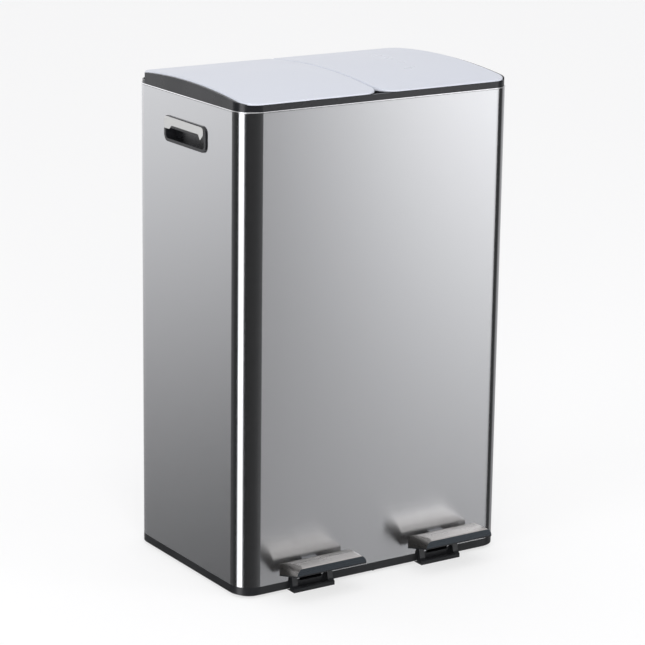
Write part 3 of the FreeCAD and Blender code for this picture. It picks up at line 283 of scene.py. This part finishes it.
def paint_dark_reflection_below(material, axis, edge, dark):
    """Paints a dark reflection: gives the faces whose distance along an axis is less than edge a darker
    tone.
    """
    tree = material.node_tree
    shader = next(node for node in tree.nodes if node.type == "BSDF_PRINCIPLED")
    plain = shader.inputs["Base Color"].links[0].from_socket
    place = add_node(tree, "SeparateXYZ", {0: add_node(tree, "TexCoord").outputs["Object"]})
    reflecting_face = add_node(tree, "Math", {0: place.outputs[axis], 1: edge}, operation="LESS_THAN")
    tone = add_node(tree, "Mix", {"Factor": reflecting_face.outputs[0], "A": plain, "B": (*dark, 1)},
                    data_type="RGBA")
    tree.links.new(tone.outputs["Result"], shader.inputs["Base Color"])


TREAD_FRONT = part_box("pedal_tread_left")[0][1]
FRONT_SKIN = 0.0001
# painted reflection: the tread's front face is the same steel, given a darker tone for the dark
# surroundings it reflects
paint_dark_reflection_below(pedal_steel, "Y", TREAD_FRONT + FRONT_SKIN, (0.10, 0.115, 0.13))
dress(both("pedal_base", "pedal_stop"), black_plastic)


# ---------------------------------------------------------------------------------------------
# Handles. A black moulded bezel clipped into each side of the casing, with a recess for the fingers.
# Above the recess a thin pale sheet on the glossy black brow is a painted reflection.
dress(both("handle"), rim_plastic)


def rounded_outline(corners, steps=6):
    """Points of a closed outline whose corners, each (across, up, radius), are rounded by arcs."""
    points = []
    for number, (across, up, radius) in enumerate(corners):
        corner = Vector((across, up))
        back = (Vector(corners[number - 1][:2]) - corner).normalized()
        onward = (Vector(corners[(number + 1) % len(corners)][:2]) - corner).normalized()
        half = back.angle(onward) / 2
        centre = corner + (back + onward).normalized() * radius / math.sin(half)
        start = corner + back * radius / math.tan(half) - centre
        end = corner + onward * radius / math.tan(half) - centre
        for step in range(steps + 1):
            points.append(centre + start.slerp(end, step / steps).normalized() * radius)
    return points


def side_plate(name, corners, face, thickness, material):
    """A flat plate on the upright plane x = face, standing out from it by its thickness."""
    points = rounded_outline(corners)
    mesh = bmesh.new()
    inner, outer = ([mesh.verts.new((x, point.x, point.y)) for point in points]
                    for x in (face, face + math.copysign(thickness, face)))
    mesh.faces.new(inner)
    mesh.faces.new(outer)
    for number in range(len(points)):
        after = (number + 1) % len(points)
        mesh.faces.new((inner[number], inner[after], outer[after], outer[number]))
    bmesh.ops.recalc_face_normals(mesh, faces=mesh.faces)
    data = bpy.data.meshes.new(name)
    mesh.to_mesh(data)
    data.materials.append(material)
    plate = bpy.data.objects.new(name, data)
    bpy.context.scene.collection.objects.link(plate)
    return plate


# the pale sheet above the recess, a painted reflection on the glossy black brow, from the back end
# round to the front, where it hooks down: the corners' places along Y and up Z, and their radii
BROW = [(0.0545, 0.5815, 0.0010), (0.0545, 0.5975, 0.0060), (-0.0425, 0.5968, 0.0050),
        (-0.0425, 0.5870, 0.0020), (-0.0355, 0.5800, 0.0010), (-0.0310, 0.5868, 0.0030),
        (0.0360, 0.5868, 0.0040), (0.0415, 0.5815, 0.0010)]
BROW_THICKNESS = 0.0003
# painted reflection: a pale colour standing for the light that the glossy black brow reflects
brow_reflection_sheet = moulding("painted_brow_reflection", (0.50, 0.50, 0.49), (0.54, 0.54, 0.53), 0.35, spread=0.02)
for side in SIDES:
    low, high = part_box(f"handle_{side}")
    face = low[0] if side == "left" else high[0]
    brow = side_plate(f"handle_brow_{side}", BROW, face, BROW_THICKNESS, brow_reflection_sheet)
    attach(brow, "casing")


# ---------------------------------------------------------------------------------------------
# Floor, light and camera. A white studio floor, two soft lamps, and a world that is dark but for
# what is overhead and a few upright bands, as large soft boxes round the object make it.
FLOOR_HALF = 12.0
floor_mesh = bpy.data.meshes.new("studio_floor")
corners = [(-FLOOR_HALF, -FLOOR_HALF, 0), (FLOOR_HALF, -FLOOR_HALF, 0), (FLOOR_HALF, FLOOR_HALF, 0),
           (-FLOOR_HALF, FLOOR_HALF, 0)]
floor_mesh.from_pydata(corners, [], [(0, 1, 2, 3)])
floor = bpy.data.objects.new("studio_floor", floor_mesh)
bpy.context.scene.collection.objects.link(floor)
white_floor, tree, shader = new_material("studio_white")
shader.inputs["Base Color"].default_value = (0.97, 0.97, 0.97, 1)
shader.inputs["Roughness"].default_value = 0.9
shader.inputs["Specular IOR Level"].default_value = 0.0
# to the camera the floor is in large part plain white, so that its shadows stay light
PLAIN_WHITE_SHARE = 0.65
path = add_node(tree, "LightPath")
glow = add_node(tree, "Math", {0: path.outputs["Is Camera Ray"], 1: PLAIN_WHITE_SHARE},
                operation="MULTIPLY")
plain = add_node(tree, "Emission", {"Color": (1, 1, 1, 1), "Strength": 1.0})
lit = add_node(tree, "MixShader", {0: glow.outputs[0], 1: shader.outputs[0], 2: plain.outputs[0]})
surface = next(node for node in tree.nodes if node.type == "OUTPUT_MATERIAL")
tree.links.new(lit.outputs[0], surface.inputs[0])
floor.data.materials.append(white_floor)
floor.visible_glossy = False

world = bpy.data.worlds.new("studio")
bpy.context.scene.world = world
world.use_nodes = True
tree = world.node_tree
tree.nodes.clear()
path = add_node(tree, "LightPath")
direction = add_node(tree, "SeparateXYZ", {0: add_node(tree, "TexCoord").outputs["Generated"]})
front = add_node(tree, "Math", {0: direction.outputs["Y"], 1: -1.0}, operation="MULTIPLY")
heading = add_node(tree, "Math", {0: direction.outputs["X"], 1: front.outputs[0]}, operation="ARCTAN2")
turn = add_node(tree, "MapRange",
                {"Value": heading.outputs[0], "From Min": -math.pi, "From Max": math.pi})
# how bright the studio is round the object, level with it and near the floor:
# degrees from the front, positive to the right, then the two levels
ROUND = [(-180, 1.2, 0.05), (-148, 1.4, 0.0), (-144, 1.0, 0.02), (-138, 0.14, 0.08),
         (-122, 0.05, 0.04), (-98, 0.02, 0.02), (-95, 2.2, 2.2), (-70, 2.2, 2.2), (-67, 0.02, 0.02),
         (-8, 0.03, 0.04), (14, 0.04, 0.07), (26, 0.08, 0.14), (31, 0.30, 0.42), (33.5, 1.1, 0.46),
         (36, 2.3, 0.35), (38, 2.5, 0.0), (52, 1.8, 0.0), (57, 0.04, 0.04), (85, 0.04, 0.04),
         (97, 0.5, 0.3), (180, 1.2, 0.3)]
LEVEL, NEAR_FLOOR = 1, 2


def round_ramp(column):
    """The brightness round the object from one column of ROUND, a little bluer than grey."""
    ramp = add_node(tree, "ValToRGB", {"Fac": turn.outputs[0]})
    stops = ramp.color_ramp.elements
    for number, entry in enumerate(ROUND):
        place = entry[0] / 360 + 0.5
        stop = stops[number] if number < 2 else stops.new(place)
        stop.position = place
        stop.color = (entry[column], entry[column], entry[column] * 1.02, 1)
    return ramp.outputs["Color"]


def climb(lowest, highest):
    """From 0 to 1 as a ray's upward part goes from lowest to highest."""
    return add_node(tree, "MapRange", {"Value": direction.outputs["Z"], "From Min": lowest,
                                       "From Max": highest}).outputs[0]


graded = add_node(tree, "Mix", {"Factor": climb(-0.34, -0.12), "A": round_ramp(NEAR_FLOOR),
                                "B": round_ramp(LEVEL)}, data_type="RGBA")
overhead = add_node(tree, "Mix", {"Factor": climb(0.45, 0.75), "A": graded.outputs["Result"],
                                  "B": (0.85, 0.85, 0.87, 1)}, data_type="RGBA")
shown = add_node(tree, "Mix", {"Factor": path.outputs["Is Camera Ray"], "A": overhead.outputs["Result"],
                               "B": (1, 1, 1, 1)}, data_type="RGBA")
background = add_node(tree, "Background", {"Color": shown.outputs["Result"], "Strength": 1.0})
output = add_node(tree, "OutputWorld")
tree.links.new(background.outputs[0], output.inputs[0])


def soft_box(name, place, aim, size, power):
    """A square soft lamp at place that faces aim, in metres and watts."""
    lamp = bpy.data.lights.new(name, "AREA")
    lamp.size = size
    lamp.energy = power
    holder = bpy.data.objects.new(name, lamp)
    holder.location = place
    holder.rotation_euler = (Vector(aim) - Vector(place)).to_track_quat("-Z", "Y").to_euler()
    bpy.context.scene.collection.objects.link(holder)
    return holder


soft_box("lamp_above", (-0.6, -1.0, 3.2), (0, 0, 0.3), 2.4, 14.0)
soft_box("lamp_front", (-1.6, -3.0, 1.3), (0, 0, 0.2), 1.6, 64.0).visible_glossy = False

LENS = 144.0
CAMERA_PLACE = (-1.8037, -2.7712, 1.2007)
HEADING, TILT, ROLL = (math.radians(angle) for angle in (33.107, 15.101, 0.757))
camera = bpy.data.objects.new("camera", bpy.data.cameras.new("camera"))
camera.data.lens = LENS
camera.data.clip_end = 100.0
turned = (Matrix.Rotation(-HEADING, 4, "Z") @ Matrix.Rotation(math.pi / 2 - TILT, 4, "X")
          @ Matrix.Rotation(ROLL, 4, "Z"))
camera.matrix_world = Matrix.Translation(CAMERA_PLACE) @ turned
bpy.context.scene.collection.objects.link(camera)
bpy.context.scene.camera = camera
bpy.context.scene.view_settings.view_transform = "Standard"
